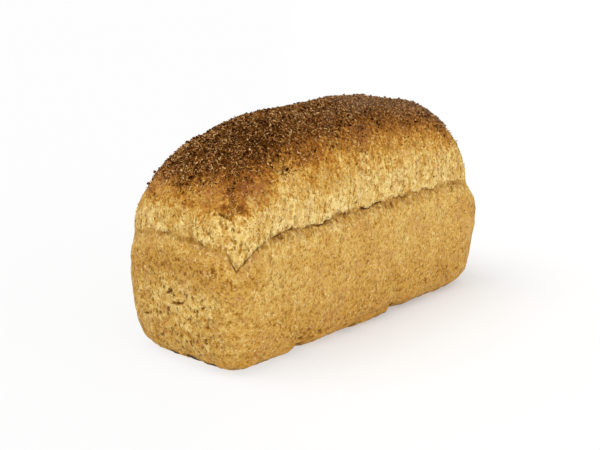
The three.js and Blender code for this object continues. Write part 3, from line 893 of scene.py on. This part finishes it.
def crust_material():
    s = Shader("crust")
    parts = {name: s.field(name) for name in ("relief_shade", "pale", "toast", "crown", "bake")}
    stretched, shred_and_lip_shade, rim = s.field("stretched"), s.field("shred_and_lip_shade"), s.field("rim")
    streak, flush = s.noise(*STREAK), s.noise(*FLUSH)
    parts["mottle"] = s.noise(*MOTTLE)
    parts["blotch"] = s.noise(*BLOTCH)
    parts["grain"] = s.noise(*GRAIN)
    parts["lines"] = s.times(streak, stretched)
    parts["fleck"] = s.specks(*FLECK_SPECKS)
    pitted = s.plus(s.field("patch"), s.between(parts["mottle"], *PITTED))
    parts["pit"] = s.times(s.specks(*PIT_SPECKS), pitted)
    tufts = s.times(s.between(s.noise(*TUFTS), *TUFTED), shred_and_lip_shade)
    parts["fibre"] = s.times(s.between(s.noise(*FIBRE), *FIBROUS), tufts)
    dough = s.ramp(s.plus(s.total(DOUGH_WEIGHTS, parts), DOUGH_MIDDLE), TIN_TONES)
    dough = s.layer(dough, s.times(s.between(streak, *SHREDDED), shred_and_lip_shade), *SHREDS_AND_LIP_SHADE)
    dough = s.layer(dough, s.between(flush, *FLUSHED), *ROSY_SPOTS)
    dough = s.layer(dough, s.between(s.noise(*CLOUDS), *CLOUDED), *ROSY_CLOUDS)
    dough = s.layer(dough, s.specks(*PALE_SPECKS), *PALE_FLECKS)
    dough = s.layer(dough, rim, *ORANGE_RIM)
    baked = s.total(BAKE_WEIGHTS, parts)
    colour = s.mix(s.between(baked, *BAKED), dough, s.ramp(baked, CROWN_TONES))
    colour = s.layer(colour, s.times(s.field("rosy"), s.between(flush, *ROSIEST)), *ROSY_BROWN)
    # Painted sheen: a greyer tone on the flat top, standing in for light glancing off it
    painted_sheen = s.times(s.field("top"), s.between(s.noise(*PAINTED_SHEEN_PATCHES), *PAINTED_SHEEN_EDGE))
    colour = s.layer(colour, painted_sheen, *PAINTED_SHEEN_TOP)
    fleck_strength = s.plus(FLECK_STRENGTH, s.times(rim, FLECK_STRENGTH_ON_RIM))
    colour = s.layer(colour, parts["fleck"], fleck_strength, BRAN_FLECK)
    colour = s.layer(colour, s.times(s.specks(*PORE_SPECKS), stretched), *PORES)
    colour = s.layer(colour, parts["pit"], *PIT_SHADE)
    colour = s.layer(colour, parts["fibre"], *FIBRES)
    # Painted shade in the groove, chips, ledge and cracks, painted shadow in the foot's gaps, and the sole's
    # darker edge
    for name, look in (("groove", CREASE_SHADE), ("crack", CRACK_SHADE), ("gap_shadow_and_dark_sole", GAP_SHADOW_AND_SOLE_DARK)):
        colour = s.layer(colour, s.field(name), *look)
    roughness = s.plus(CRUST_ROUGHNESS, s.times(parts["grain"], ROUGHNESS_SPREAD))
    return s.finish(colour, roughness, CRUST_GLOSS, SHEEN, s.total(BUMP_WEIGHTS, parts), BUMP_DEPTH)


def bran_material():
    s = Shader("bran")
    grain = s.noise(*BRAN_GRAIN)
    colour = s.ramp(s.plus(s.field("tone"), s.times(grain, BRAN_GRAINY)), BRAN_TONES)
    # Painted sheen on the bran of the flat top
    colour = s.mix(s.field("painted_sheen"), colour, BRAN_PAINTED_SHEEN)
    return s.finish(colour, s.plus(BRAN_ROUGHNESS, s.times(grain, ROUGHNESS_SPREAD)), sheen=SHEEN)


# Bran: how many flakes, their size in millimetres, corners, tilt, lift, middle and spread of their tone
BRAN_KINDS = {
    "bran_flakes": dict(count=19000, size=(2.0, 0.7, 0.36), corners=5, tilt=0.5, lift=0.9, tone=(0.58, 0.3)),
    "bran_large": dict(count=1200, size=(2.5, 0.9, 0.45), corners=7, tilt=0.5, lift=1.2, tone=(0.45, 0.26)),
    "bran_lumps": dict(count=480, size=(2.3, 1.8, 1.5), corners=6, tilt=0.9, lift=1.1, tone=(0.2, 0.14)),
    "bran_dust": dict(count=16000, size=(1.1, 0.65, 0.3), corners=4, tilt=0.4, lift=0.1, tone=(0.2, 0.15)),
}
STANDING_SHARE, STANDING_TILT, STANDING_ON = 0.16, 2.0, 0.6  # some stand up where the top is flat enough
# Tone that standing flakes lose: painted shade, as they stand against the light
STANDING_SHADE = 0.25
STRAY_PALER, STRAY_DENSITY = 0.2, (0.02, 0.1)  # tone that strays gain, and where bran counts as strays
LONG_DARKER = 0.3  # tone that a flake twice as long as its kind loses
SIZE_SPREAD, CORNER_SHIFT, CORNER_RADIUS = 0.28, 0.3, (0.75, 1.15)
CURL, CURL_LEVEL, SIT = 0.9, 0.5, 0.5
TIPS = 2  # points of a flake over and under its outline
TILE_USED, TILE_MIDDLE = 0.35, 0.5  # shares of a flake's tile on the flat map
BRAN_EDGES = {  # rise where each kind starts and where it lies thickest, and its share of strays below
    "bran_flakes": (0.37, 1.15, 0.012),
    "bran_large": (0.45, 1.05, 0.0),
    "bran_lumps": (0.5, 1.0, 0.0),
    "bran_dust": (0.34, 1.0, 0.025),
}
BRAN_ON_ENDS, BRAN_RAGGED, BRAN_CROWDING, STRAY_EDGE = 0.09, 0.2, 1.6, (1, 10)
THIN_BRAN, THIN_TURN = 0.5, (-50, 45)  # share of the bran on the right, and where it thins
THIN_DULLER = 0.95  # share of its tone that the bran has there
BRAN_PLACES = [((-86, -16, 136), 24, 0.16), ((-106, 24, 127), 18, -0.16)]  # place, reach, how much darker
BRAN_GRAIN, BRAN_GRAINY = (0.9, 2), 0.35
BRAN_TONES = [
    (0.0, (0.028, 0.006, 0.0005)),
    (0.35, (0.150, 0.050, 0.007)),
    (0.7, (0.44, 0.200, 0.054)),
    (1.0, (0.72, 0.46, 0.200)),
]
# Painted sheen on the bran: its colour, and the most of it that a flake takes
BRAN_PAINTED_SHEEN, MOST_PAINTED_SHEEN = (0.38, 0.24, 0.15), 0.5


def bran_density(points, fields, low, high, stray):
    """How thickly bran lies: thick on the top, thinning raggedly down the sides, lower on the ends."""
    rise = fields["rise"] + BRAN_ON_ENDS * fields["endness"] + BRAN_RAGGED * perlin("bran", points)
    thick = smoothstep(rise, low, high) ** BRAN_CROWDING
    thick *= lerp(1, THIN_BRAN, smoothstep(points[:, 0], *THIN_TURN))
    return np.maximum(thick, stray * smoothstep(fields["above"], *STRAY_EDGE)) * fields["crown"]


def flake_forms(rng, kind):
    """Half-sizes, ragged outlines and points of flakes, each a low double cone."""
    count, corners = kind["count"], kind["corners"]
    size = np.array(kind["size"]) * rng.lognormal(0, SIZE_SPREAD, (count, 3)) / 2
    shift = rng.uniform(-CORNER_SHIFT, CORNER_SHIFT, (count, corners))
    angle = 2 * math.pi * (np.arange(corners) + shift) / corners
    radius = rng.uniform(*CORNER_RADIUS, (count, corners))
    flat = np.stack([np.cos(angle) * radius, np.sin(angle) * radius], -1)
    curl = rng.uniform(-CURL, CURL, (count, 1)) * (np.abs(flat[..., 0]) ** 2 - CURL_LEVEL)
    outline = np.concatenate([flat, curl[..., None]], -1)
    tips = np.tile([[0.0, 0.0, 1.0], [0.0, 0.0, -1.0]], (count, 1, 1))
    return size, flat, np.concatenate([outline, tips], 1) * size[:, None]


def flake_faces(count, corners):
    """Triangles from the outline of each flake to its two tips."""
    around = np.arange(corners)
    beside = (around + 1) % corners
    top = np.stack([around, beside, np.full(corners, corners)], 1)
    under = np.stack([beside, around, np.full(corners, corners + 1)], 1)
    starts = (corners + TIPS) * np.arange(count)
    return (np.concatenate([top, under]) + starts[:, None, None]).reshape(-1, 3)


def flake_map(flat):
    """Places on a flat map with a tile for each flake."""
    count = len(flat)
    tiles = math.ceil(math.sqrt(count))
    tile = np.stack([np.arange(count) % tiles, np.arange(count) // tiles], -1)
    within = np.concatenate([flat, np.zeros((count, TIPS, 2))], 1) * TILE_USED + TILE_MIDDLE
    return ((within + tile[:, None]) / tiles).reshape(-1, 2)


def strew(name, rng, points, triangles, normals, density, kind):
    """Flat irregular flakes of one kind, lying on the crust."""
    count, corners = kind["count"], kind["corners"]
    weight = np.linalg.norm(face_normals(points, triangles), axis=1) * density[triangles].mean(1)
    chosen = triangles[rng.choice(len(triangles), count, p=weight / weight.sum())]
    outwards = normals[chosen[:, 0]]
    shares = rng.dirichlet((1, 1, 1), count)
    middle = (points[chosen] * shares[..., None]).sum(1)
    up = (normals[chosen] * shares[..., None]).sum(1)
    standing = (rng.uniform(size=(count, 1)) < STANDING_SHARE) & (up[:, 2:] > STANDING_ON)
    up = unit(up + kind["tilt"] * (1 + STANDING_TILT * standing) * rng.normal(size=(count, 3)))
    along = unit(np.cross(up, rng.normal(size=(count, 3))))
    frames = np.stack([along, np.cross(up, along), up], 1)
    size, flat, local = flake_forms(rng, kind)
    middle += outwards * (kind["lift"] * rng.uniform(0, 1, (count, 1)) + SIT * size[:, 2:])
    shape = (local @ frames + middle[:, None]).reshape(-1, 3)
    faces = flake_faces(count, corners)
    tone = rng.normal(*kind["tone"], count) - STANDING_SHADE * standing[:, 0]
    tone -= LONG_DARKER * (2 * size[:, 0] / kind["size"][0] - 1)
    tone += STRAY_PALER * (1 - smoothstep(density[chosen[:, 0]], *STRAY_DENSITY))
    tone -= added_near(BRAN_PLACES, middle)
    tone *= lerp(1, THIN_DULLER, smoothstep(middle[:, 0], *THIN_TURN))
    painted_sheen = MOST_PAINTED_SHEEN * painted_sheen_share(middle, outwards) * rng.uniform(size=count)
    looks = {"tone": np.clip(tone, 0, 1), "painted_sheen": painted_sheen}
    fields = {field: np.repeat(values, corners + TIPS) for field, values in looks.items()}
    return mesh_object(name, shape, faces, flake_map(flat)[faces], fields, False)


def make_loaf():
    points, triangles, flat_map, fields = crust_grid()
    form = Crust(points, triangles, fields)
    moved = form.moved()
    crust = mesh_object("crust", moved, triangles, flat_map, form.fields(), True)
    crust.data.materials.append(crust_material())
    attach(crust, "root")
    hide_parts("loaf")
    normals = vertex_normals(moved, triangles)
    rng = np.random.default_rng(SEED)
    bran = bran_material()
    for name, kind in BRAN_KINDS.items():
        density = bran_density(points, fields, *BRAN_EDGES[name])
        piece = strew(name, rng, moved, triangles, normals, density, kind)
        piece.data.materials.append(bran)
        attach(piece, "root")


# The floor glows, more so on the camera's left, so that the shadow on it stays faint there
FLOOR_HALF = 12.0
FLOOR_LIT, FLOOR_GLOW = (0.16, 0.58), (0.80, 0.345)  # left and right
FLOOR_TURN = (-0.10, 0.06)
FLOOR_GRAIN, FLOOR_ROUGHNESS = (200, 1), 0.5
# Light from all round, and two wide lights: direction from the loaf, angle that it covers, and strength
SKY = 0.56
KEY = ((-0.55, 0.35, 1.18), math.radians(45), 1.15)
FILL = ((-0.34, -0.94, 0.75), math.radians(80), 1.45)


def make_floor():
    mesh = bpy.data.meshes.new("floor")
    corners = [(x * FLOOR_HALF, y * FLOOR_HALF, 0) for x, y in ((-1, -1), (1, -1), (1, 1), (-1, 1))]
    mesh.from_pydata(corners, [], [(0, 1, 2, 3)])
    floor = new_object("floor", mesh)
    s = Shader("floor")
    inputs = {0: s.place, 1: CAMERA_RIGHT}
    along = s.add("ShaderNodeVectorMath", inputs, operation="DOT_PRODUCT").outputs["Value"]
    turn = s.between(along, *FLOOR_TURN)
    lit, glow = (s.mix(turn, [left] * 3, [right] * 3) for left, right in (FLOOR_LIT, FLOOR_GLOW))
    s.feed(s.principled, {"Emission Color": glow, "Emission Strength": 1.0})
    floor.data.materials.append(s.finish(lit, s.plus(s.noise(*FLOOR_GRAIN), FLOOR_ROUGHNESS)))


def make_light(name, direction, width, strength):
    """A wide even light from far away."""
    data = bpy.data.lights.new(name, "SUN")
    data.angle = width
    data.energy = strength
    light = new_object(name, data)
    light.rotation_mode = "QUATERNION"
    light.rotation_quaternion = Vector(direction).to_track_quat("Z", "Y")


def make_studio():
    world = bpy.data.worlds.new("studio")
    world.use_nodes = True
    background = world.node_tree.nodes["Background"]
    background.inputs["Color"].default_value = (1, 1, 1, 1)
    background.inputs["Strength"].default_value = SKY
    bpy.context.scene.world = world
    make_light("key", *KEY)
    make_light("fill", *FILL)
    bpy.context.scene.view_settings.view_transform = "Standard"


def make_camera():
    level = Vector((math.sin(CAMERA_AZIMUTH), -math.cos(CAMERA_AZIMUTH), 0))
    back = level * math.cos(CAMERA_ELEVATION) + Vector((0, 0, math.sin(CAMERA_ELEVATION)))
    up = back.cross(CAMERA_RIGHT)
    aim = Vector((0, 0, AIM_HEIGHT)) + CAMERA_RIGHT * AIM_RIGHT + up * AIM_UP
    data = bpy.data.cameras.new("camera")
    data.lens = CAMERA_LENS
    data.sensor_width = SENSOR
    camera = new_object("camera", data)
    turn = Matrix((CAMERA_RIGHT, up, back)).transposed().to_4x4()
    camera.matrix_world = Matrix.Translation(aim + back * CAMERA_DISTANCE) @ turn
    bpy.context.scene.camera = camera


make_loaf()
make_floor()
make_studio()
make_camera()
